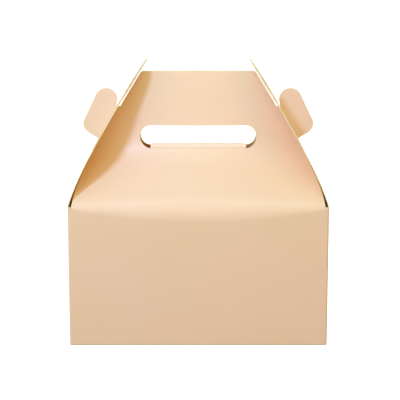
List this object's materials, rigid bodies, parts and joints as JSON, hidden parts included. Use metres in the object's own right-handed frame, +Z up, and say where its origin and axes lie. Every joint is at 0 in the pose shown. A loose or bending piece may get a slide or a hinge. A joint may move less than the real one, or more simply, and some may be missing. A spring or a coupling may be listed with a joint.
{
  "type": "gable box",
  "caption": "Folded card gable box with a hand-hole handle on top and two slotted end flaps that hook over the handle's ears.",
  "frame": {"origin": "centre of the box's footprint, on the surface that it stands on", "axes": "+Z up, the front wall faces -Y, the end flaps are at +X and -X"},
  "size_m": [0.16, 0.09, 0.1746],
  "materials": {
    "card": "peach coated card with a satin pearl face, cream inside and at its cut edges"
  },
  "bodies": {
    "box": {"carton": "card"},
    "left_flap": {"left_end_flap": "card"},
    "right_flap": {"right_end_flap": "card"}
  },
  "joints": [
    {"name": "left_end_flap_hinge", "type": "hinge", "parent": "box", "child": "left_flap", "pos_m": [-0.07975, 0, 0.088], "axis": [0, -1, 0], "range_deg": [0, 120]},
    {"name": "right_end_flap_hinge", "type": "hinge", "parent": "box", "child": "right_flap", "pos_m": [0.07975, 0, 0.088], "axis": [0, 1, 0], "range_deg": [0, 120]}
  ]
}
